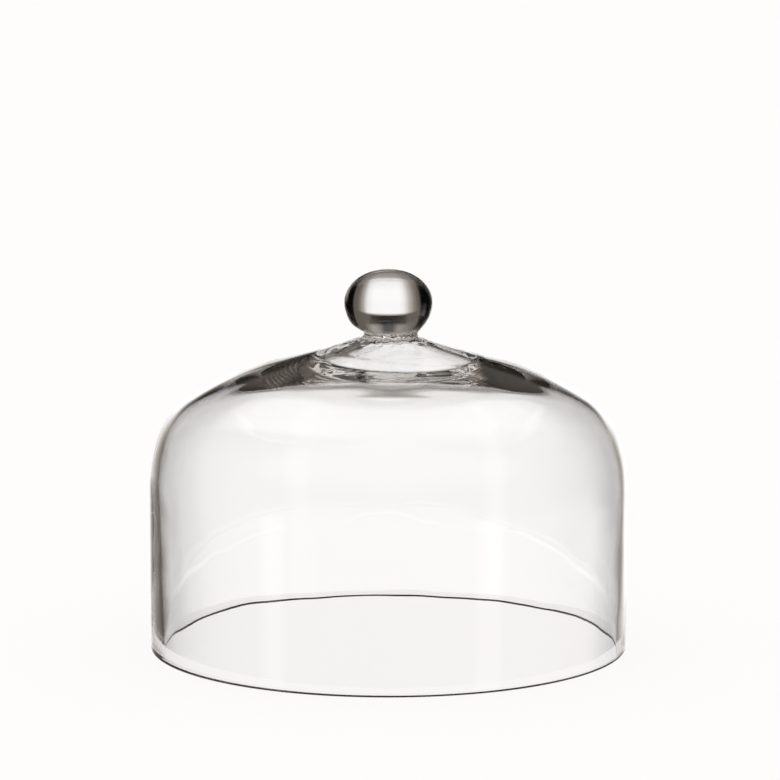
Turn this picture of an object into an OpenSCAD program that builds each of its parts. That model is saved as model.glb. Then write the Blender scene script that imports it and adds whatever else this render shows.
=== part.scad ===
// Glass food cover dome with a ball knob.
// Three gathers of clear glass: the blown dome, the pinched neck that spreads over its crown, and the ball.
// The dome stands on its ground rim at z = 0, open downwards, with its axis on +Z.
// Lengths are in millimetres and angles in degrees.

/* [Dome wall] */
// Outside diameter of the straight wall
dome_d = 290; // [240:1:340]
// Height of the straight wall above the table
wall_h = 97; // [60:1:160]
// Thickness of the glass in the wall and the shoulder
wall_t = 5; // [3:0.1:8]
// Radius of the polished edges on both sides of the ground rim
rim_edge_r = 1.2; // [0.4:0.1:1.4]

/* [Shoulder and crown] */
// Radius of the slow curve by which the wall starts to lean in
lean_r = 102; // [80:1:140]
// Angle that the slow curve turns through
lean_turn = 17; // [12:0.5:20]
// Radius of the shoulder
shoulder_r = 43; // [32:1:56]
// Angle that the shoulder turns through
shoulder_turn = 41; // [36:0.5:46]
// Radius of the broad curve from the shoulder up to the crown
haunch_r = 194; // [150:1:240]
// Slope of the crown below the level
crown_slope = 15.8; // [12:0.1:20]
// Radius of the inside above the shoulder, tighter than outside, so that the crown grows thick
inner_haunch_r = 145; // [120:1:165]
// Radius of the flat cap that closes the inside
inner_cap_r = 340; // [280:1:500]

/* [Knob neck] */
// Diameter of the foot that spreads over the crown
foot_d = 80; // [60:1:100]
// Radius of the foot's rounded edge
foot_edge_r = 0.7; // [0.4:0.1:2]
// Radius of the waist that is pinched in under the ball
waist_r = 3.8; // [2.5:0.1:6]

/* [Knob ball] */
// Diameter of the ball where it is widest
ball_d = 53.5; // [46:0.5:64]
// Height of the ball above its widest circle
ball_top_h = 20; // [15:0.5:30]
// Depth of the ball below its widest circle, before the neck cuts it off
ball_bottom_h = 24; // [18:0.5:32]
// Angle round the underside at which the ball runs into the neck
seam_turn = 45; // [40:0.5:50]

/* [Hidden] */
$fn = 128;

// Angle that one straight step of an outline stands for
step_turn = 3;
glass_colour = [0.92, 0.94, 0.94];
glass_clearness = 0.45;

// Outside of the dome: a wall, three tangent curves and a straight crown
wall_r = dome_d / 2;
lean_c = [wall_r - lean_r, wall_h];
shoulder_c = lean_c + (lean_r - shoulder_r) * unit(lean_turn);
haunch_start = lean_turn + shoulder_turn;
haunch_c = shoulder_c + (shoulder_r - haunch_r) * unit(haunch_start);
crown_turn = 90 - crown_slope;
crown_start = haunch_c + haunch_r * unit(crown_turn);

// Seat of the foot on the crown, a level disc
foot_r = foot_d / 2;
foot_z = crown_start.y + (crown_start.x - foot_r) * tan(crown_slope);

// Inside of the dome: the wall and the shoulder keep the wall's thickness, and a tangent cap closes the top
inner_r = wall_r - wall_t;
inner_shoulder_r = shoulder_r - wall_t;
inner_haunch_c = shoulder_c + (inner_shoulder_r - inner_haunch_r) * unit(haunch_start);
cap_reach = inner_cap_r - inner_haunch_r;
cap_start = acos(inner_haunch_c.x / cap_reach);
cap_c = [0, inner_haunch_c.y - cap_reach * sin(cap_start)];
inner_top_z = cap_c.y + inner_cap_r;

// Neck, worked down from the circle where the ball takes over
ball_r = ball_d / 2;
seam_r = ball_r * cos(seam_turn);
seam_lean = atan(ball_r * sin(seam_turn) / (ball_bottom_h * cos(seam_turn)));
neck_r = seam_r - waist_r * (1 - cos(seam_lean));
root_r = neck_r + waist_r * (1 - sin(crown_slope));
foot_edge_c = [foot_r - foot_edge_r, foot_z];
foot_edge_end = foot_edge_c + foot_edge_r * unit(crown_turn);
root_z = foot_edge_end.y + (foot_edge_end.x - root_r) * tan(crown_slope);
waist_c = [neck_r + waist_r, root_z + waist_r * cos(crown_slope)];
seam_z = waist_c.y + waist_r * sin(seam_lean);
ball_z = seam_z + ball_bottom_h * sin(seam_turn);
top_z = ball_z + ball_top_h;

echo(overall_height = top_z, neck_diameter = 2 * neck_r, foot_seat_z = foot_z, seam_z = seam_z, ball_z = ball_z);
echo(mouth_diameter = 2 * inner_r, inside_height = inner_top_z, crown_thickness = foot_z - inner_top_z);

// Direction at an angle above the level
function unit(angle) = [cos(angle), sin(angle)];

// Points of an arc after its first, where the line before it ends
function arc(centre, radius, from, to) =
    let (steps = max(1, ceil(abs(to - from) / step_turn)))
    [for (i = [1:steps]) centre + radius * unit(from + (to - from) * i / steps)];

// The same for a quarter of the ball's outline, which is an ellipse of this height
function ball_arc(height, from, to) =
    let (steps = max(1, ceil(abs(to - from) / step_turn)))
    [for (i = [1:steps])
        let (way = unit(from + (to - from) * i / steps))
        [ball_r * way.x, ball_z + height * way.y]];

// Outline of the dome's outside, from the rim up to the seat of the foot
function outside_line() = concat(
    [[wall_r - rim_edge_r, 0]],
    arc([wall_r - rim_edge_r, rim_edge_r], rim_edge_r, -90, 0),
    [[wall_r, wall_h]],
    arc(lean_c, lean_r, 0, lean_turn),
    arc(shoulder_c, shoulder_r, lean_turn, haunch_start),
    arc(haunch_c, haunch_r, haunch_start, crown_turn),
    [[foot_r, foot_z], [0, foot_z]]);

// Outline of the dome's inside, from the top of the cap down to the rim
function inside_line() = concat(
    [[0, inner_top_z]],
    arc(cap_c, inner_cap_r, 90, cap_start),
    arc(inner_haunch_c, inner_haunch_r, cap_start, haunch_start),
    arc(shoulder_c, inner_shoulder_r, haunch_start, lean_turn),
    arc(lean_c, lean_r - wall_t, lean_turn, 0),
    [[inner_r, rim_edge_r]],
    arc([inner_r + rim_edge_r, rim_edge_r], rim_edge_r, 180, 270));

// Outline of the neck, from its foot on the crown up to the ball
function neck_line() = concat(
    [[0, foot_z], [foot_r, foot_z]],
    arc(foot_edge_c, foot_edge_r, 0, crown_turn),
    [[root_r, root_z]],
    arc(waist_c, waist_r, 180 + crown_turn, 180 - seam_lean),
    [[0, seam_z]]);

// Outline of the ball, from the seam up over its widest circle to the top
function ball_line() = concat(
    [[0, seam_z], [seam_r, seam_z]],
    ball_arc(ball_bottom_h, -seam_turn, 0),
    ball_arc(ball_top_h, 0, 90));

// Clear glass turned about the axis
module glass(outline) {
    color(glass_colour, glass_clearness)
        rotate_extrude()
            polygon(outline);
}

// Blown dome: wall, shoulder and crown, with a flat ground rim
module dome_shell() {
    glass(concat(outside_line(), inside_line()));
}

// Pinched neck with the foot that is fused to the crown
module knob_neck() {
    glass(neck_line());
}

// Solid ball, fused to the top of the neck
module knob_ball() {
    glass(ball_line());
}

dome_shell();
knob_neck();
knob_ball();
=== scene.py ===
"""Looks of a blown glass food cover: its dome, its pinched neck and its ball knob, in a small studio."""

import logging
import math
from dataclasses import dataclass, field
from enum import Enum
from typing import Callable, Sequence

import bpy
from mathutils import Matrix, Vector


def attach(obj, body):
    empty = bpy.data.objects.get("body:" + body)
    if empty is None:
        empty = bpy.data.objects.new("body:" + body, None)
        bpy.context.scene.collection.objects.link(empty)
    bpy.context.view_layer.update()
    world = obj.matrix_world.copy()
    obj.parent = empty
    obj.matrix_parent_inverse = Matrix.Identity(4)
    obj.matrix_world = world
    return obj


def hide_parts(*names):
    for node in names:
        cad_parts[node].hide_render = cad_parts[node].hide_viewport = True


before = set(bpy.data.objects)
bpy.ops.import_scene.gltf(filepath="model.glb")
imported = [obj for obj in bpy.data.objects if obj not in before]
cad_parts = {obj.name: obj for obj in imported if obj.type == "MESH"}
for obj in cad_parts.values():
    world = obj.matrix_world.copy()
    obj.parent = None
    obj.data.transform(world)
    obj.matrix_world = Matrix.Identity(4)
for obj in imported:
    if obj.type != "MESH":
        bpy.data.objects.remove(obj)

MM = 0.001
AXIS = (0.0, 0.0, 1.0)
CENTRE = (0.0, 0.0, 0.0)
FUSED = "fused"
MERGE_DISTANCE = 1e-6
MID_GREY = 0.5
CIRCLE_SIDES = 96
# The most degrees that one straight step of a fine arc turns
FINE_TURN = 2.0
# The room between two fused faces, and how near a place is to count as on a surface, in millimetres
JOINT_GAP = 0.05
TOUCH = 0.1
# The height of a unit normal past which a face counts as level, and as facing up or down
LEVEL = 0.9999
UPWARD = 0.5
DOWNWARD = -0.3

Weight = Callable[[Vector, Vector], float]
Test = Callable[[Vector, Vector], bool]

log = logging.getLogger("food_cover")


class Way(Enum):
    """The way that glass is pushed, as Displace names it."""

    ACROSS = "X"
    BACK = "Y"
    UP = "Z"
    OUT = "NORMAL"


def linear(colour: str) -> tuple[float, float, float, float]:
    """Turns an sRGB hex colour into a linear RGBA value.

    Args:
        colour: six hex digits, such as "F4F1EE".

    Returns:
        The linear red, green and blue, with an alpha of 1.
    """
    parts = [int(colour[i:i + 2], 16) / 255 for i in (0, 2, 4)]
    channels = [c / 12.92 if c <= 0.04045 else ((c + 0.055) / 1.055) ** 2.4 for c in parts]
    return (*channels, 1.0)


def unit(angle: float) -> Vector:
    """Gives the direction at an angle in degrees above the level, as (radius, height)."""
    turn = math.radians(angle)
    return Vector((math.cos(turn), math.sin(turn)))


def arc(centre: Vector, radius: float, start: float, end: float, step: float = FINE_TURN) -> list[Vector]:
    """Gives the points of an arc after its first, where the line before it ends.

    Args:
        centre: the arc's centre, as (radius, height) in millimetres.
        radius: the arc's radius in millimetres.
        start: the angle in degrees where it starts.
        end: the angle where it ends.
        step: the most that one straight step may turn.

    Returns:
        The points up to and with the last.
    """
    count = max(1, math.ceil(abs(end - start) / step))
    return [centre + radius * unit(start + (end - start) * i / count) for i in range(1, count + 1)]


def run(start: Vector, end: Vector, count: int) -> list[Vector]:
    """Gives count evenly spaced points of a straight line, after its first."""
    return [start.lerp(end, i / count) for i in range(1, count + 1)]


def ease(value: float, low: float, high: float) -> float:
    """Rises smoothly from 0 at low to 1 at high, or falls where low is the larger."""
    share = min(1.0, max(0.0, (value - low) / (high - low)))
    return share * share * (3 - 2 * share)


def deselect_all() -> None:
    """Leaves nothing selected, the loaded CAD nodes included."""
    bpy.ops.object.select_all(action="DESELECT")


def turned(name: str, outline: Sequence[Vector], steps: int) -> bpy.types.Object:
    """Models a solid of revolution: a vertex is drawn along the outline, then spun about the axis.

    Args:
        name: the piece's name.
        outline: points as (radius, height) in millimetres, from the axis round to the axis.
        steps: how many flats the turned surface has.

    Returns:
        The closed, smooth-shaded piece, at the origin.
    """
    deselect_all()
    bpy.ops.mesh.primitive_plane_add(size=MM)
    piece = bpy.context.object
    piece.name = piece.data.name = name
    bpy.ops.object.mode_set(mode="EDIT")
    bpy.ops.mesh.select_all(action="SELECT")
    bpy.ops.mesh.merge(type="CENTER")
    bpy.ops.transform.translate(value=(outline[0].x * MM, 0, outline[0].y * MM))
    for here, there in zip(outline, outline[1:]):
        move = (there - here) * MM
        bpy.ops.mesh.extrude_region_move(TRANSFORM_OT_translate={"value": (move.x, 0, move.y)})
    bpy.ops.mesh.select_all(action="SELECT")
    bpy.ops.mesh.spin(steps=steps, angle=math.tau, center=CENTRE, axis=AXIS)
    bpy.ops.mesh.select_all(action="SELECT")
    bpy.ops.mesh.remove_doubles(threshold=MERGE_DISTANCE)
    bpy.ops.mesh.normals_make_consistent(inside=False)
    bpy.ops.object.mode_set(mode="OBJECT")
    bpy.ops.object.shade_smooth()
    return piece


def push(piece: bpy.types.Object, way: Way, reach: float, weight: Weight,
         texture: bpy.types.Texture | None = None, guide: bpy.types.Object | None = None,
         middle: float = 0.0) -> None:
    """Pushes part of a piece out of its turned shape, as hot glass sags and as tools press it.

    Args:
        piece: the piece.
        way: the way to push.
        reach: how far the texture's white pushes, in millimetres.
        weight: share of the push from a vertex's place in millimetres and its normal.
        texture: what varies the push; none pushes evenly.
        guide: the object whose space the texture lies in; none takes the piece's own.
        middle: the texture's level that stays in place.
    """
    group = piece.vertex_groups.new(name="push")
    for vertex in piece.data.vertices:
        share = weight(vertex.co / MM, vertex.normal)
        if share:
            group.add([vertex.index], share, "REPLACE")
    deselect_all()
    bpy.context.view_layer.objects.active = piece
    piece.select_set(True)
    change = piece.modifiers.new("push", "DISPLACE")
    change.direction = way.value
    change.strength = reach * MM
    change.mid_level = middle
    change.vertex_group = group.name
    if texture:
        change.texture = texture
        change.texture_coords = "OBJECT" if guide else "LOCAL"
        change.texture_coords_object = guide
    bpy.ops.object.modifier_apply(modifier=change.name)
    piece.vertex_groups.clear()


def add_node(tree: bpy.types.NodeTree, kind: str, links: dict | None = None,
             **settings: object) -> bpy.types.Node:
    """Adds a node with its settings and links.

    Args:
        tree: the node tree to add to.
        kind: the node's type name.
        links: input socket name or number to the output socket that feeds it, or to a plain value.
        settings: the node's own properties, and a ramp's stops as pairs of place and grey.

    Returns:
        The new node.
    """
    node = tree.nodes.new(kind)
    for place, grey in settings.pop("stops", ()):
        ends = node.color_ramp.elements
        stop = ends[0] if place <= 0 else ends[len(ends) - 1] if place >= 1 else ends.new(place)
        stop.color = (grey, grey, grey, 1.0)
    for key, value in settings.items():
        setattr(node, key, value)
    for key, value in (links or {}).items():
        if isinstance(value, bpy.types.NodeSocket):
            tree.links.new(value, node.inputs[key])
        else:
            node.inputs[key].default_value = value
    return node


@dataclass(frozen=True)
class ClearGlass:
    """Soda-lime glass, clear and fire polished, with the marks of how it was worked.

    To the eye it is clear where it is thin and brown-grey where light runs a long way in it. Slow ripples
    and fine upright cords, left by the blowing, make the lines seen through it waver, and hands leave a
    faint haze here and there. The rim is ground, so it is pale and matt. Fused faces show nothing, since the
    hot glass ran together there. Lengths are in millimetres.
    """

    name: str
    depth_tint: str = "E4E1DF"
    depth_per_m: float = 12.0
    ior: float = 1.52
    ripple_length: float = 30.0
    ripple_depth: float = 0.05
    ripple_detail: float = 1.0
    cord_width: float = 4.0
    cord_stretch: float = 0.08
    cord_share: float = 0.12
    cord_detail: float = 2.0
    calm_from: float = 125.0
    calm_to: float = 160.0
    calm_share: float = 0.1
    haze_length: float = 22.0
    haze_detail: float = 3.0
    haze_from: float = 0.58
    haze_to: float = 0.8
    haze: float = 0.02
    ground_h: float = 0.5
    ground: float = 0.35

    def material(self) -> bpy.types.Material:
        """Makes the glass, with its bump and roughness from the place on the piece.

        Returns:
            The material.
        """
        made = bpy.data.materials.new(self.name)
        made.use_nodes = True
        tree = made.node_tree
        place = add_node(tree, "ShaderNodeTexCoord").outputs["Object"]
        height = add_node(tree, "ShaderNodeSeparateXYZ", {0: place}).outputs["Z"]
        ripple = add_node(tree, "ShaderNodeTexNoise", {
            "Vector": place, "Scale": 1 / (self.ripple_length * MM), "Detail": self.ripple_detail})
        upright = add_node(tree, "ShaderNodeMapping", {
            "Vector": place, "Scale": (1.0, 1.0, self.cord_stretch)})
        cord = add_node(tree, "ShaderNodeTexNoise", {
            "Vector": upright.outputs[0], "Scale": 1 / (self.cord_width * MM), "Detail": self.cord_detail})
        relief = add_node(tree, "ShaderNodeMath", {
            0: cord.outputs[0], 1: self.cord_share, 2: ripple.outputs[0]}, operation="MULTIPLY_ADD")
        calm = add_node(tree, "ShaderNodeMapRange", {
            0: height, 1: self.calm_from * MM, 2: self.calm_to * MM, 3: 1.0, 4: self.calm_share})
        bump = add_node(tree, "ShaderNodeBump", {
            "Strength": calm.outputs[0], "Distance": self.ripple_depth * MM, "Height": relief.outputs[0]})
        hands = add_node(tree, "ShaderNodeTexNoise", {
            "Vector": place, "Scale": 1 / (self.haze_length * MM), "Detail": self.haze_detail})
        haze = add_node(tree, "ShaderNodeMapRange", {
            0: hands.outputs[0], 1: self.haze_from, 2: self.haze_to, 3: 0.0, 4: self.haze})
        ground = add_node(tree, "ShaderNodeMapRange", {
            0: height, 1: 0.0, 2: self.ground_h * MM, 3: self.ground, 4: 0.0})
        rough = add_node(tree, "ShaderNodeMath", {
            0: haze.outputs[0], 1: ground.outputs[0]}, operation="MAXIMUM")
        shader = tree.nodes["Principled BSDF"]
        shader.inputs["Base Color"].default_value = (1.0, 1.0, 1.0, 1.0)
        shader.inputs["IOR"].default_value = self.ior
        shader.inputs["Transmission Weight"].default_value = 1.0
        joint = add_node(tree, "ShaderNodeAttribute", attribute_name=FUSED)
        free = add_node(tree, "ShaderNodeMath", {0: 1.0, 1: joint.outputs["Fac"]}, operation="SUBTRACT")
        for name, source in (("Roughness", rough), ("Normal", bump), ("Alpha", free)):
            tree.links.new(source.outputs[0], shader.inputs[name])
        depth = add_node(tree, "ShaderNodeVolumeAbsorption", {
            "Color": linear(self.depth_tint), "Density": self.depth_per_m})
        tree.links.new(depth.outputs[0], tree.nodes["Material Output"].inputs["Volume"])
        return made


BLOWN_GLASS = ClearGlass("blown_soda_lime_glass")
# The knob was tooled, so its ripples are shorter and lie in the foot and the waist, below a calm ball
TOOLED_GLASS = ClearGlass("tooled_soda_lime_glass", depth_per_m=6.0, ripple_length=12.0, ripple_depth=0.03,
                          calm_from=190.0, calm_to=200.0)


def dress(piece: bpy.types.Object, glass: bpy.types.Material, is_joint: Test) -> None:
    """Gives a piece its glass, and marks the faces where it is fused to its neighbour.

    A crisp edge runs round those faces.

    Args:
        piece: the piece.
        glass: its material.
        is_joint: tells a joint face from its middle in millimetres and its normal.
    """
    piece.data.materials.append(glass)
    joints = [float(is_joint(face.center / MM, face.normal)) for face in piece.data.polygons]
    piece.data.attributes.new(FUSED, "FLOAT", "FACE").data.foreach_set("value", joints)
    deselect_all()
    bpy.context.view_layer.objects.active = piece
    piece.select_set(True)
    bpy.ops.object.mode_set(mode="EDIT")
    bpy.ops.mesh.select_mode(type="FACE")
    bpy.ops.mesh.select_all(action="DESELECT")
    bpy.ops.object.mode_set(mode="OBJECT")
    for face, joint in zip(piece.data.polygons, joints):
        face.select = joint > 0
    bpy.ops.object.mode_set(mode="EDIT")
    bpy.ops.mesh.region_to_loop()
    bpy.ops.mesh.mark_sharp()
    bpy.ops.mesh.select_mode(type="VERT")
    bpy.ops.object.mode_set(mode="OBJECT")


@dataclass
class FootSizes:
    """The knob's foot: a thin oval of glass that ran out to one side of the crown, in millimetres.

    The guide that it is drawn in is any_height tall, so that the foot doesn't change with the height.
    """

    centre: tuple[float, float] = (12.0, 0.0)
    half_width: float = 49.5
    half_depth: float = 46.5
    edge_h: float = 0.25
    swell: float = 0.45
    edge_run: float = 4.0
    edge_stops: int = 4
    start_r: float = 17.0
    full_r: float = 23.0
    any_height: float = 1e6

    def spread(self, piece: bpy.types.Object, weight: Weight) -> None:
        """Raises the foot on a piece.

        Args:
            piece: the neck, or the dome that the foot runs out over.
            weight: the share of the piece's surface that takes the foot, as push() has it.
        """
        deselect_all()
        bpy.ops.object.empty_add(location=(self.centre[0] * MM, self.centre[1] * MM, 0))
        guide = bpy.context.object
        guide.scale = (self.half_width * MM, self.half_depth * MM, self.any_height * MM)
        bpy.context.view_layer.update()
        shape = bpy.data.textures.new("foot", "BLEND")
        shape.progression = "SPHERICAL"
        shape.use_color_ramp = True
        full = self.edge_h + self.swell
        rim = self.edge_run / self.half_width
        stops = shape.color_ramp.elements
        stops[0].color = (0.0, 0.0, 0.0, 1.0)
        stops[1].color = (1.0, 1.0, 1.0, 1.0)
        for i in range(1, self.edge_stops + 1):
            share = i / self.edge_stops
            level = ease(share, 0, 1) * (self.edge_h + self.swell * rim * share) / full
            stops.new(rim * share).color = (level, level, level, 1.0)
        push(piece, Way.UP, full, weight, shape, guide)
        bpy.data.objects.remove(guide)

    def fade(self, place: Vector) -> float:
        """Fades the foot out towards the waist."""
        return ease(place.xy.length, self.start_r, self.full_r)


@dataclass
class DomeSizes:
    """Sizes of the blown dome, in millimetres and degrees.

    A pair named for a fade, a depth or a breadth says where a push starts and where it is full.
    """

    wall_r: float = 145.0
    wall_h: float = 97.0
    wall_t: float = 5.0
    rim_t: float = 6.4
    rim_edge_r: float = 1.2
    near_rim_h: float = 8.0
    near_rim_share: float = 0.07
    lean_r: float = 102.0
    lean_turn: float = 17.0
    shoulder_r: float = 43.0
    shoulder_turn: float = 41.0
    haunch_r: float = 194.0
    crown_slope: float = 15.8
    foot_r: float = 40.0
    core_r: float = 21.0
    inner_slopes: tuple[tuple[float, float], ...] = (
        (0, 0), (8, 20.8), (44, 20.8), (49, 6.7), (61, 8.5), (70, 11.7), (80, 16.2), (90, 19.7), (100, 24.1))
    cap_step: float = 0.8
    cap_tilt: float = 0.56
    cap_tilt_turn: float = 45.0
    cap_shift: tuple[float, float] = (1.7, 0.75)
    cap_fade: tuple[float, float] = (118.0, 88.0)
    peak_shift: float = 3.0
    peak_fade: tuple[float, float] = (62.0, 44.0)
    front_sag: float = 0.8
    sag_depth: tuple[float, float] = (50.0, 80.0)
    sag_breadth: tuple[float, float] = (56.0, 12.0)
    front_hold: float = 0.5
    hold_depth: tuple[float, float] = (28.0, 58.0)
    hold_breadth: tuple[float, float] = (32.0, 54.0)
    cavity_shift: float = 1.2
    shift_fade: tuple[float, float] = (150.0, 20.0)
    waviness: float = 0.7
    wave_length: float = 80.0
    wave_fade: tuple[float, float] = (140.0, 100.0)


@dataclass
class Rings:
    """How finely the dome's outline is drawn: counts of rings, and the most degrees that one ring turns."""

    core: int = 4
    seat: int = 6
    crown: int = 60
    wall: int = 20
    near_rim: int = 6
    rim_turn: float = 15.0
    haunch_turn: float = 1.0


@dataclass
class Dome:
    """The blown dome: wall, shoulder, crown and ground rim."""

    foot: FootSizes
    sizes: DomeSizes = field(default_factory=DomeSizes)
    rings: Rings = field(default_factory=Rings)
    flats: int = 268

    def __post_init__(self) -> None:
        """Works out the centres of the curves and the seat of the knob's foot."""
        s = self.sizes
        self.lean_c = Vector((s.wall_r - s.lean_r, s.wall_h))
        self.shoulder_c = self.lean_c + (s.lean_r - s.shoulder_r) * unit(s.lean_turn)
        self.haunch_start = s.lean_turn + s.shoulder_turn
        self.haunch_c = self.shoulder_c + (s.shoulder_r - s.haunch_r) * unit(self.haunch_start)
        self.crown_turn = 90 - s.crown_slope
        crown_start = self.haunch_c + s.haunch_r * unit(self.crown_turn)
        rise = math.tan(math.radians(s.crown_slope))
        self.foot_z = crown_start.y + (crown_start.x - s.foot_r) * rise

    def outside(self) -> list[Vector]:
        """Gives the outline from the foot's edge over the crown down to the rim.

        Returns:
            Points as (radius, height) in millimetres.
        """
        s = self.sizes
        n = self.rings
        low = Vector((s.wall_r, s.near_rim_h))
        line = arc(Vector((s.wall_r - s.rim_edge_r, s.rim_edge_r)), s.rim_edge_r, -90, 0, n.rim_turn)
        line += run(Vector((s.wall_r, s.rim_edge_r)), low, n.near_rim)
        line += run(low, Vector((s.wall_r, s.wall_h)), n.wall)
        line += arc(self.lean_c, s.lean_r, 0, s.lean_turn)
        line += arc(self.shoulder_c, s.shoulder_r, s.lean_turn, self.haunch_start)
        line += arc(self.haunch_c, s.haunch_r, self.haunch_start, self.crown_turn, n.haunch_turn)
        line += run(line[-1], Vector((s.foot_r, self.foot_z)), n.crown)
        return line[::-1]

    def seat(self) -> list[Vector]:
        """Gives the outline of the seat that the knob is fused to: a level core, then the crown's own slope.

        Returns:
            Points as (radius, height) in millimetres, from the axis out.
        """
        s = self.sizes
        core = Vector((s.core_r, self.seat_z(s.core_r)))
        middle = Vector((0, core.y))
        edge = Vector((s.foot_r, self.foot_z))
        return [middle] + run(middle, core, self.rings.core) + run(core, edge, self.rings.seat)

    def seat_z(self, radius: float) -> float:
        """Gives the seat's height at a radius."""
        s = self.sizes
        return self.foot_z + (s.foot_r - max(radius, s.core_r)) * math.tan(math.radians(s.crown_slope))

    def is_joint(self, place: Vector, normal: Vector) -> bool:
        """Tells the faces of the seat."""
        near = abs(place.z - self.seat_z(place.xy.length)) < TOUCH
        return place.xy.length < self.sizes.foot_r and normal.z > UPWARD and near

    def inner_slope(self, radius: float, start_r: float) -> float:
        """Gives the slope of the crown's inside: a peak under the knob, flat round that, then falling.

        Args:
            radius: the place's distance from the axis, in millimetres.
            start_r: where the inside leaves the shoulder.

        Returns:
            The slope below the level, in degrees.
        """
        stations = (*self.sizes.inner_slopes, (start_r, 90 - self.haunch_start))
        for (r0, slope0), (r1, slope1) in zip(stations, stations[1:]):
            if radius <= r1:
                return slope0 + (slope1 - slope0) * (radius - r0) / (r1 - r0)
        return stations[-1][1]

    def inside(self) -> list[Vector]:
        """Gives the outline from the rim up the inside to the axis.

        Returns:
            Points as (radius, height) in millimetres.
        """
        s = self.sizes
        n = self.rings
        edge_c = Vector((s.wall_r - s.rim_t + s.rim_edge_r, s.rim_edge_r))
        line = [Vector((edge_c.x, 0))]
        line += arc(edge_c, s.rim_edge_r, 270, 180, n.rim_turn)
        wall_top = Vector((s.wall_r - s.wall_t, s.wall_h))
        line += run(line[-1], line[-1].lerp(wall_top, s.near_rim_share), n.near_rim)
        line += run(line[-1], wall_top, n.wall)
        line += arc(self.lean_c, s.lean_r - s.wall_t, 0, s.lean_turn)
        line += arc(self.shoulder_c, s.shoulder_r - s.wall_t, s.lean_turn, self.haunch_start)
        start_r = line[-1].x
        steps = math.ceil(start_r / s.cap_step)
        for i in range(steps):
            here = line[-1]
            step = here.x / (steps - i)
            slope = self.inner_slope(here.x - step / 2, start_r)
            line.append(here + Vector((-step, step * math.tan(math.radians(slope)))))
        return line

    def build(self, glass: bpy.types.Material) -> bpy.types.Object:
        """Models and dresses the dome.

        Args:
            glass: its material.

        Returns:
            The piece.
        """
        s = self.sizes
        rim = Vector((s.wall_r - s.rim_edge_r, 0))
        outline = self.seat() + self.outside()[1:] + [rim] + self.inside()
        piece = turned("glass_dome", outline, self.flats)
        dress(piece, glass, self.is_joint)
        self.foot.spread(piece, self.foot_weight)
        push(piece, Way.ACROSS, s.cavity_shift, self.shift_weight)
        push(piece, Way.ACROSS, s.peak_shift, self.peak_weight)
        push(piece, Way.UP, -s.front_sag, self.sag_weight)
        push(piece, Way.UP, s.front_hold, self.hold_weight)
        self.tilt_cap(piece)
        push(piece, Way.ACROSS, s.cap_shift[0], self.cap_weight)
        push(piece, Way.BACK, s.cap_shift[1], self.cap_weight)
        waves = bpy.data.textures.new("blowing_waves", "CLOUDS")
        waves.noise_scale = s.wave_length * MM
        push(piece, Way.OUT, s.waviness, self.wave_weight, waves, middle=MID_GREY)
        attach(piece, "root")
        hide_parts("dome_shell")
        return piece

    def tilt_cap(self, piece: bpy.types.Object) -> None:
        """Tilts the top of the cavity, as the glass sagged while the knob was set on.

        Args:
            piece: the dome.
        """
        s = self.sizes
        deselect_all()
        bpy.ops.object.empty_add(rotation=(0, 0, math.radians(s.cap_tilt_turn)))
        guide = bpy.context.object
        guide.scale = (s.wall_r * MM, s.wall_r * MM, 1.0)
        bpy.context.view_layer.update()
        incline = bpy.data.textures.new("incline", "BLEND")
        drop = 2 * s.wall_r * math.tan(math.radians(s.cap_tilt))
        push(piece, Way.UP, -drop, self.cap_weight, incline, guide, MID_GREY)
        bpy.data.objects.remove(guide)

    def is_inside(self, place: Vector, normal: Vector) -> bool:
        """Tells the inner surface from the outer by which way it faces."""
        return normal.dot(place - Vector((0, 0, self.sizes.wall_h / 2))) < 0

    def on_cap(self, place: Vector, normal: Vector) -> bool:
        """Tells the top of the cavity."""
        return self.is_inside(place, normal) and place.z > self.sizes.wall_h

    def foot_weight(self, place: Vector, normal: Vector) -> float:
        """Lets the foot run out over the crown, but not over the seat under the neck."""
        on_crown = not self.is_inside(place, normal) and place.xy.length > self.sizes.foot_r - TOUCH
        return 1.0 if on_crown and place.z > self.sizes.wall_h else 0.0

    def shift_weight(self, place: Vector, normal: Vector) -> float:
        """Sets the cavity off the axis at the rim, and less so higher up."""
        return ease(place.z, *self.sizes.shift_fade) if self.is_inside(place, normal) else 0.0

    def peak_weight(self, place: Vector, normal: Vector) -> float:
        """Draws the peak out to the side that the knob's foot lies on."""
        return ease(place.xy.length, *self.sizes.peak_fade) if self.on_cap(place, normal) else 0.0

    def cap_weight(self, place: Vector, normal: Vector) -> float:
        """Takes the top of the cavity, and fades out towards the shoulder."""
        return ease(place.xy.length, *self.sizes.cap_fade) if self.on_cap(place, normal) else 0.0

    def sag_weight(self, place: Vector, normal: Vector) -> float:
        """Lets the cavity's top sag in front of the knob."""
        ahead = self.cap_weight(place, normal) * ease(-place.y, *self.sizes.sag_depth)
        return ahead * ease(abs(place.x), *self.sizes.sag_breadth)

    def hold_weight(self, place: Vector, normal: Vector) -> float:
        """Holds it up on both sides of that."""
        ahead = self.cap_weight(place, normal) * ease(-place.y, *self.sizes.hold_depth)
        return ahead * ease(abs(place.x), *self.sizes.hold_breadth)

    def wave_weight(self, place: Vector, normal: Vector) -> float:
        """Lets the inner wall waver, but not the crown."""
        on_wall = self.is_inside(place, normal) and place.z > TOUCH
        return ease(place.z, *self.sizes.wave_fade) if on_wall else 0.0


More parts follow.
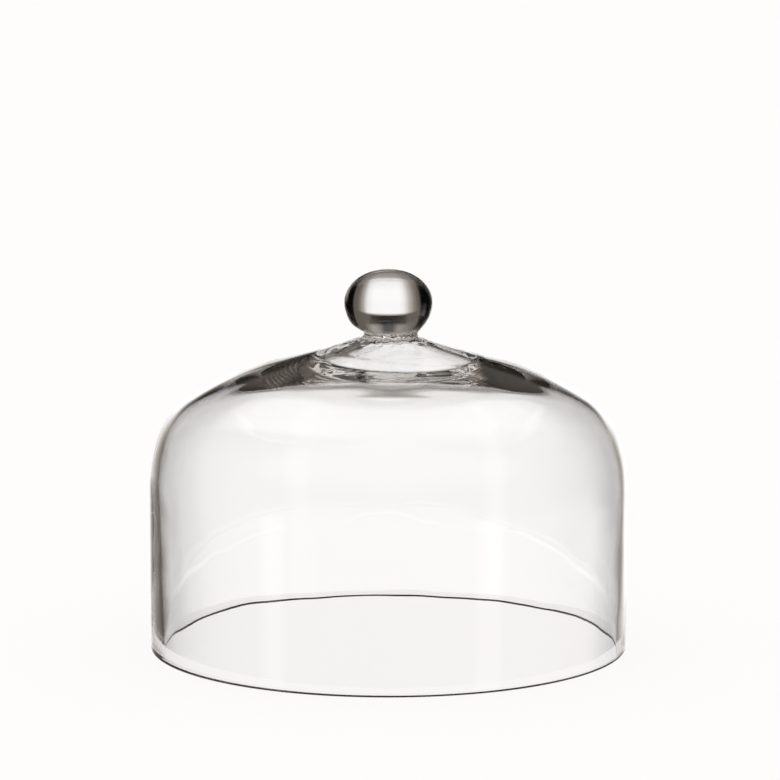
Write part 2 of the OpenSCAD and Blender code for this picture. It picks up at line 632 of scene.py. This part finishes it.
@dataclass
class KnobSizes:
    """Sizes of the neck and the ball, in millimetres and degrees; a share is one of the seam's radius."""

    foot_edge_r: float = 0.7
    waist_r: float = 3.8
    ball_r: float = 26.75
    ball_top_h: float = 20.0
    ball_bottom_h: float = 24.0
    seam_turn: float = 45.0
    tool_mark: float = 1.6
    tool_width: float = 4.5
    mark_fade: tuple[float, float] = (6.0, 2.0)
    skin_share: float = 0.93
    skin_tilt: float = 0.98
    pinch: float = 2.9
    pinch_rise: float = 1.0
    pinch_reach: float = 6.0
    pinch_share: float = 0.5


@dataclass
class Knob:
    """The knob: a pinched neck with a foot that spreads over the crown, and the ball above it."""

    dome: Dome
    sizes: KnobSizes = field(default_factory=KnobSizes)
    flats: int = 268
    foot_rings: int = 24
    seam_rings: int = 6
    waist_turn: float = 5.0

    def __post_init__(self) -> None:
        """Works out the neck down from the seam, and the ball up from it."""
        s = self.sizes
        slope = math.radians(self.dome.sizes.crown_slope)
        seam = math.radians(s.seam_turn)
        self.seam_r = s.ball_r * math.cos(seam)
        self.skin_r = self.seam_r * s.skin_share
        self.pinch_r = self.seam_r * s.pinch_share
        lean = math.atan2(s.ball_r * math.sin(seam), s.ball_bottom_h * math.cos(seam))
        neck_r = self.seam_r - s.waist_r * (1 - math.cos(lean))
        root_r = neck_r + s.waist_r * (1 - math.sin(slope))
        edge_c = Vector((self.dome.sizes.foot_r - s.foot_edge_r, self.dome.foot_z))
        edge_end = edge_c + s.foot_edge_r * unit(self.dome.crown_turn)
        root_z = edge_end.y + (edge_end.x - root_r) * math.tan(slope)
        self.root = Vector((root_r, root_z))
        self.waist_c = Vector((neck_r + s.waist_r, root_z + s.waist_r * math.cos(slope)))
        self.seam_lean = math.degrees(lean)
        self.seam_z = self.waist_c.y + s.waist_r * math.sin(lean)
        self.ball_z = self.seam_z + s.ball_bottom_h * math.sin(seam)

    def neck_line(self) -> list[Vector]:
        """Gives the neck's outline, from the seat up to the seam.

        Returns:
            Points as (radius, height) in millimetres, from the axis round to the axis.
        """
        line = [point + Vector((0, JOINT_GAP)) for point in self.dome.seat()]
        line += run(line[-1], self.root, self.foot_rings)
        line += arc(self.waist_c, self.sizes.waist_r, 180 + self.dome.crown_turn, 180 - self.seam_lean,
                    self.waist_turn)
        line += run(line[-1], Vector((0, self.seam_z)), self.seam_rings)
        return line

    def ball_arc(self, height: float, start: float, end: float) -> list[Vector]:
        """Gives a part of the ball's outline, after its first point.

        Args:
            height: the ball's half height there, in millimetres.
            start: the angle in degrees where it starts.
            end: the angle where it ends.

        Returns:
            Points as (radius, height) in millimetres.
        """
        count = math.ceil(abs(end - start) / FINE_TURN)
        ways = [unit(start + (end - start) * i / count) for i in range(1, count + 1)]
        return [Vector((self.sizes.ball_r * way.x, self.ball_z + height * way.y)) for way in ways]

    def ball_line(self) -> list[Vector]:
        """Gives the ball's outline, from the seam up to the top.

        Returns:
            Points as (radius, height) in millimetres, from the axis round to the axis.
        """
        s = self.sizes
        seat = Vector((0, self.seam_z + JOINT_GAP))
        line = [seat] + run(seat, Vector((self.seam_r, seat.y)), self.seam_rings)
        line += self.ball_arc(s.ball_bottom_h, -s.seam_turn, 0)
        line += self.ball_arc(s.ball_top_h, 0, 90)
        return line

    def build(self, glass: bpy.types.Material) -> list[bpy.types.Object]:
        """Models and dresses the neck and the ball.

        Args:
            glass: their material.

        Returns:
            The two pieces.
        """
        s = self.sizes
        marks = bpy.data.textures.new("tool_marks", "CLOUDS")
        marks.noise_scale = s.tool_width * MM
        neck = turned("knob_neck_glass", self.neck_line(), self.flats)
        dress(neck, glass, self.is_joint)
        self.dome.foot.spread(neck, self.foot_weight)
        ball = turned("knob_ball_glass", self.ball_line(), self.flats)
        dress(ball, glass, self.is_joint)
        for piece, node in ((neck, "knob_neck"), (ball, "knob_ball")):
            push(piece, Way.ACROSS, s.pinch, self.pinch_weight)
            push(piece, Way.OUT, s.tool_mark, self.mark_weight, marks, middle=MID_GREY)
            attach(piece, "root")
            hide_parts(node)
        return [neck, ball]

    def is_joint(self, place: Vector, normal: Vector) -> bool:
        """Tells the faces of the seat under the neck and of the seam between neck and ball."""
        at_seam = abs(normal.z) > LEVEL and abs(place.z - self.seam_z) < TOUCH
        return at_seam or normal.z < -UPWARD and abs(place.z - self.dome.seat_z(place.xy.length)) < TOUCH

    def foot_weight(self, place: Vector, normal: Vector) -> float:
        """Lets the foot spread from the waist down, but not on the seat."""
        on_seat = place.xy.length < self.dome.sizes.foot_r - TOUCH and normal.z < DOWNWARD
        return 0.0 if on_seat or place.z > self.waist_c.y else self.dome.foot.fade(place)

    def pinch_weight(self, place: Vector, normal: Vector) -> float:
        """Pinches the waist in from the left."""
        near = ease(abs(place.z - self.waist_c.y - self.sizes.pinch_rise), self.sizes.pinch_reach, 0.0)
        return near * ease(place.x, 0.0, -self.seam_r) if place.xy.length > self.pinch_r else 0.0

    def mark_weight(self, place: Vector, normal: Vector) -> float:
        """Presses the tool's marks into the waist, and not into the flat joints."""
        on_skin = place.xy.length > self.skin_r and abs(normal.z) < self.sizes.skin_tilt
        return ease(abs(place.z - self.waist_c.y), *self.sizes.mark_fade) if on_skin else 0.0


@dataclass(frozen=True)
class Patch:
    """A soft part of the tent: pairs of an angle in degrees and the grey there, round the tent and up it."""

    side: tuple[tuple[float, float], ...]
    rise: tuple[tuple[float, float], ...]
    strength: float = 1.0


@dataclass
class Tent:
    """A round cloth tent that the glass mirrors and bends, so that its edges show.

    It has a white panel behind the glass, dark cloth at both sides of that, a pale ceiling, grey cloth low
    down and two pale strips in front. Angles are seen from the tent's middle, to the right of straight
    behind the glass and up from the level. The tent hangs on the camera, as for an object on a turntable,
    so the panel is always behind the glass. It lights nothing and shows only in the glass.
    """

    radius: float = 6.0
    middle: tuple[float, float, float] = (0.0, 0.0, 0.12)
    warm_dark: str = "FFEEDD"
    white: str = "FFFEFD"
    panel: Patch = Patch(
        ((-180, 0), (-38, 0), (-33, .1), (-26, .24), (-20, .5), (-14, .9), (-10, 1), (14, 1), (20, .85),
         (25, .42), (30, .2), (36, .1), (44, 0), (180, 0)),
        ((-90, .05), (-57, .1), (-48, .38), (-38, .82), (-27, .92), (-20, 1), (4.5, 1), (7.5, 0), (90, 0)),
        1.115)
    arch: Patch = Patch(
        ((-180, 0), (-40, 0), (-34, .06), (-20, .15), (-14, .22), (-10, .22), (-4, .02), (4, .02), (10, .24),
         (16, .3), (22, .2), (34, .06), (40, 0), (180, 0)),
        ((-90, 0), (0, 0), (3, .6), (6, .6), (9, .15), (16, .2), (20, 1), (30, 1), (37, 0), (90, 0)))
    wings: Patch = Patch(
        ((-180, 0), (-37, .003), (-34, .13), (-20, .14), (-14, .02), (14, .02), (20, .14), (40, .13),
         (43, .003), (180, 0)),
        ((-90, 1), (90, 1)))
    ceiling: Patch = Patch(
        ((-180, 0), (-75, .05), (-50, .12), (-36, 1), (36, 1), (50, .6), (75, .35), (100, .1), (180, 0)),
        ((-90, 0), (24, 0), (30, .1), (40, .7), (62, .7), (76, .42), (90, .42)))
    valance: Patch = Patch(
        ((-180, 1), (-120, 1), (-95, .1), (-80, 0), (80, 0), (95, .1), (120, 1), (180, 1)),
        ((-90, 0), (14, 0), (22, .3), (40, .42), (90, .42)))
    sweep: Patch = Patch(
        ((-180, .15), (-140, .15), (-110, .1), (-70, .02), (-56, 0), (58, 0), (64, .25), (70, .4), (90, .3),
         (120, .2), (180, .15)),
        ((-90, 1), (-7, 1), (-2, .3), (2, 0), (90, 0)))
    strips: Patch = Patch(
        ((-180, 0), (-131, 0), (-127, 1), (-119, 1), (-115, 0), (123, 0), (127, 1), (137, 1), (141, 0),
         (180, 0)),
        ((-90, 1), (-7, 1), (-2, 0), (90, 0)),
        0.6)

    def material(self) -> bpy.types.Material:
        """Makes the tent's glow from the angles of its own surface.

        Returns:
            The material.
        """
        made = bpy.data.materials.new("studio_tent")
        made.use_nodes = True
        made.cycles.emission_sampling = "NONE"
        tree = made.node_tree
        tree.nodes.clear()
        place = add_node(tree, "ShaderNodeTexCoord")
        way = add_node(tree, "ShaderNodeVectorMath", {0: place.outputs["Object"]}, operation="NORMALIZE")
        axes = add_node(tree, "ShaderNodeSeparateXYZ", {0: way.outputs["Vector"]})
        turn = add_node(tree, "ShaderNodeMath", {
            0: axes.outputs["X"], 1: axes.outputs["Y"]}, operation="ARCTAN2")
        lift = add_node(tree, "ShaderNodeMath", {0: axes.outputs["Z"]}, operation="ARCSINE")
        round_it = add_node(tree, "ShaderNodeMapRange", {0: turn.outputs[0], 1: -math.pi, 2: math.pi})
        up_it = add_node(tree, "ShaderNodeMapRange", {0: lift.outputs[0], 1: -math.pi / 2, 2: math.pi / 2})
        patches = (self.panel, self.arch, self.wings, self.ceiling, self.valance, self.sweep, self.strips)
        whole = None
        for patch in patches:
            side = add_node(tree, "ShaderNodeValToRGB", {0: round_it.outputs[0]},
                            stops=[(0.5 + angle / 360, grey) for angle, grey in patch.side])
            rise = add_node(tree, "ShaderNodeValToRGB", {0: up_it.outputs[0]},
                            stops=[(0.5 + angle / 180, grey) for angle, grey in patch.rise])
            both = add_node(tree, "ShaderNodeMath", {
                0: side.outputs[0], 1: rise.outputs[0]}, operation="MULTIPLY")
            lit = add_node(tree, "ShaderNodeMath", {
                0: both.outputs[0], 1: patch.strength}, operation="MULTIPLY")
            whole = lit if whole is None else add_node(tree, "ShaderNodeMath", {
                0: whole.outputs[0], 1: lit.outputs[0]}, operation="MAXIMUM")
        colour = add_node(tree, "ShaderNodeMix", {
            0: whole.outputs[0], 6: linear(self.warm_dark), 7: linear(self.white)}, data_type="RGBA")
        glow = add_node(tree, "ShaderNodeEmission", {
            "Color": colour.outputs[2], "Strength": whole.outputs[0]})
        add_node(tree, "ShaderNodeOutputMaterial", {"Surface": glow.outputs[0]})
        return made

    def hang(self, camera: bpy.types.Object) -> None:
        """Hangs the tent round the glass, on the camera.

        Args:
            camera: the camera.
        """
        deselect_all()
        bpy.ops.mesh.primitive_uv_sphere_add(segments=CIRCLE_SIDES, ring_count=CIRCLE_SIDES // 2,
                                             radius=self.radius, location=self.middle)
        tent = bpy.context.object
        tent.name = "tent"
        bpy.ops.object.shade_smooth()
        bpy.context.view_layer.update()
        tent.parent = camera
        tent.matrix_parent_inverse = camera.matrix_world.inverted()
        for ray in ("camera", "diffuse", "shadow", "volume_scatter"):
            setattr(tent, f"visible_{ray}", False)
        tent.data.materials.append(self.material())


@dataclass(frozen=True)
class LitWhite:
    """Matt white painted board that is partly lit by itself, so that the shadow on it stays faint."""

    name: str
    glow: float
    matt: str = "FDFCFB"
    lit: str = "FFFDFC"

    def material(self) -> bpy.types.Material:
        """Makes the white.

        Returns:
            The material.
        """
        made = bpy.data.materials.new(self.name)
        made.use_nodes = True
        tree = made.node_tree
        tree.nodes.clear()
        matt = add_node(tree, "ShaderNodeBsdfDiffuse", {"Color": linear(self.matt)})
        lit = add_node(tree, "ShaderNodeEmission", {"Color": linear(self.lit), "Strength": 1.0})
        mixed = add_node(tree, "ShaderNodeMixShader", {0: self.glow, 1: matt.outputs[0], 2: lit.outputs[0]})
        add_node(tree, "ShaderNodeOutputMaterial", {"Surface": mixed.outputs[0]})
        return made


@dataclass(frozen=True)
class SoftWhite:
    """Lit white card that fades out from its middle, so that no edge of it shows in the glass."""

    name: str

    def material(self) -> bpy.types.Material:
        """Makes the white, for a round card with a radius of 1 before it is scaled.

        Returns:
            The material.
        """
        made = bpy.data.materials.new(self.name)
        made.use_nodes = True
        made.cycles.emission_sampling = "NONE"
        tree = made.node_tree
        tree.nodes.clear()
        place = add_node(tree, "ShaderNodeTexCoord")
        away = add_node(tree, "ShaderNodeVectorMath", {0: place.outputs["Object"]}, operation="LENGTH")
        share = add_node(tree, "ShaderNodeMapRange", {
            0: away.outputs["Value"], 1: 0.0, 2: 1.0, 3: 1.0, 4: 0.0}, interpolation_type="SMOOTHSTEP")
        clear = add_node(tree, "ShaderNodeBsdfTransparent")
        lit = add_node(tree, "ShaderNodeEmission", {"Strength": 1.0})
        mixed = add_node(tree, "ShaderNodeMixShader", {
            0: share.outputs[0], 1: clear.outputs[0], 2: lit.outputs[0]})
        add_node(tree, "ShaderNodeOutputMaterial", {"Surface": mixed.outputs[0]})
        return made


@dataclass
class Studio:
    """Camera, floor, white surround and the tent that draws the glass's edges; lengths are in metres."""

    distance: float = 3.0
    elevation: float = 12.36
    aim: tuple[float, float, float] = (0.00097, 0.0, 0.1576)
    lens: float = 226.38
    surround: str = "FFFEFD"
    floor_size: float = 12.0
    floor_drop: float = 0.0003
    floor_white: LitWhite = LitWhite("white_sweep", 0.93)
    spot_r: float = 0.16
    spot_white: LitWhite = LitWhite("white_spot", 1.0)
    card_place: tuple[float, float] = (0.5, 0.14)
    card_half: tuple[float, float] = (0.42, 0.19)
    card_turn: float = 28.0
    card_white: SoftWhite = SoftWhite("white_card")
    bounces: int = 32
    tent: Tent = field(default_factory=Tent)

    def camera(self) -> bpy.types.Object:
        """Sets up the camera at the photo's viewing angle.

        Returns:
            The camera.
        """
        rise = math.radians(self.elevation)
        place = Vector((self.aim[0], -self.distance * math.cos(rise), self.distance * math.sin(rise)))
        data = bpy.data.cameras.new("camera")
        data.lens = self.lens
        camera = bpy.data.objects.new("camera", data)
        bpy.context.scene.collection.objects.link(camera)
        camera.location = place
        camera.rotation_euler = (Vector(self.aim) - place).to_track_quat("-Z", "Y").to_euler()
        bpy.context.scene.camera = camera
        return camera

    def world(self) -> None:
        """Makes the white surround."""
        world = bpy.data.worlds.new("white_surround")
        world.use_nodes = True
        bpy.context.scene.world = world
        back = world.node_tree.nodes["Background"]
        back.inputs["Color"].default_value = linear(self.surround)
        back.inputs["Strength"].default_value = 1.0

    def floor(self) -> None:
        """Makes the white sweep, and the part of it under the dome that shows through the glass."""
        deselect_all()
        bpy.ops.mesh.primitive_plane_add(size=self.floor_size, location=(0, 0, -self.floor_drop))
        floor = bpy.context.object
        floor.name = "floor"
        floor.data.materials.append(self.floor_white.material())
        for ray in ("transmission", "glossy"):
            setattr(floor, f"visible_{ray}", False)
        deselect_all()
        bpy.ops.mesh.primitive_circle_add(vertices=CIRCLE_SIDES, radius=self.spot_r, fill_type="NGON",
                                          location=(0, 0, -self.floor_drop / 2))
        spot = bpy.context.object
        spot.name = "floor_under_dome"
        spot.data.materials.append(self.spot_white.material())
        for ray in ("camera", "glossy", "diffuse", "shadow"):
            setattr(spot, f"visible_{ray}", False)

    def card(self) -> None:
        """Lays a soft white card on the floor to the right, which only the wall mirrors."""
        deselect_all()
        bpy.ops.mesh.primitive_circle_add(vertices=CIRCLE_SIDES, radius=1.0, fill_type="NGON",
                                          rotation=(0, 0, math.radians(self.card_turn)),
                                          location=(*self.card_place, -self.floor_drop / 2))
        card = bpy.context.object
        card.name = "card"
        card.scale = (*self.card_half, 1.0)
        card.data.materials.append(self.card_white.material())
        for ray in ("camera", "diffuse", "transmission", "shadow"):
            setattr(card, f"visible_{ray}", False)

    def build(self) -> None:
        """Builds the whole set."""
        camera = self.camera()
        self.world()
        self.floor()
        self.card()
        self.tent.hang(camera)
        scene = bpy.context.scene
        scene.view_settings.view_transform = "Standard"
        # Light runs along inside the thick crown, off one face and the other, many times before it gets out
        scene.cycles.max_bounces = self.bounces
        scene.cycles.glossy_bounces = self.bounces
        scene.cycles.transmission_bounces = self.bounces


def main() -> None:
    """Builds the set and the three pieces of glass, and logs how many faces each has."""
    logging.basicConfig(level=logging.INFO, format="%(name)s: %(message)s")
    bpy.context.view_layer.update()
    Studio().build()
    dome = Dome(FootSizes())
    pieces = [dome.build(BLOWN_GLASS.material()), *Knob(dome).build(TOOLED_GLASS.material())]
    for piece in pieces:
        log.info("%s: %d faces", piece.name, len(piece.data.polygons))


if __name__ == "__main__":
    main()
